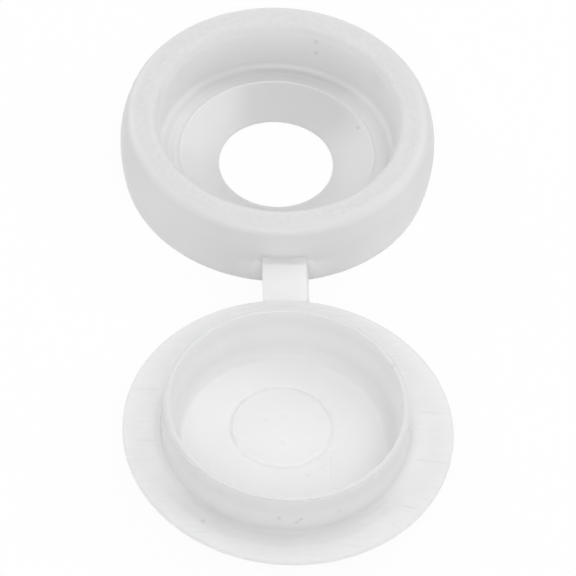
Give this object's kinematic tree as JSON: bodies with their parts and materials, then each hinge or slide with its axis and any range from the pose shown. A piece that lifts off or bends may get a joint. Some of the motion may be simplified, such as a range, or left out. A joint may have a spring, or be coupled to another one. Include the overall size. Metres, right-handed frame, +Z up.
{
  "type": "screw cover cap",
  "caption": "Hinged screw cover cap moulded in one piece: a countersunk washer, a thin strap and a domed lid whose plug ring snaps into the washer.",
  "frame": {"origin": "on the screw hole's axis, in the plane of the washer's resting face", "axes": "+Z up along the screw hole's axis, out of the washer's cup; -Y from the washer towards the open lid; +X to the right when looking along +Y"},
  "size_m": [0.0141, 0.0303, 0.0037],
  "materials": {
    "white_plastic": "white polyethylene, smooth walls, finely spark-eroded rim"
  },
  "bodies": {
    "root": {"screw_cap": "white_plastic"}
  },
  "joints": []
}
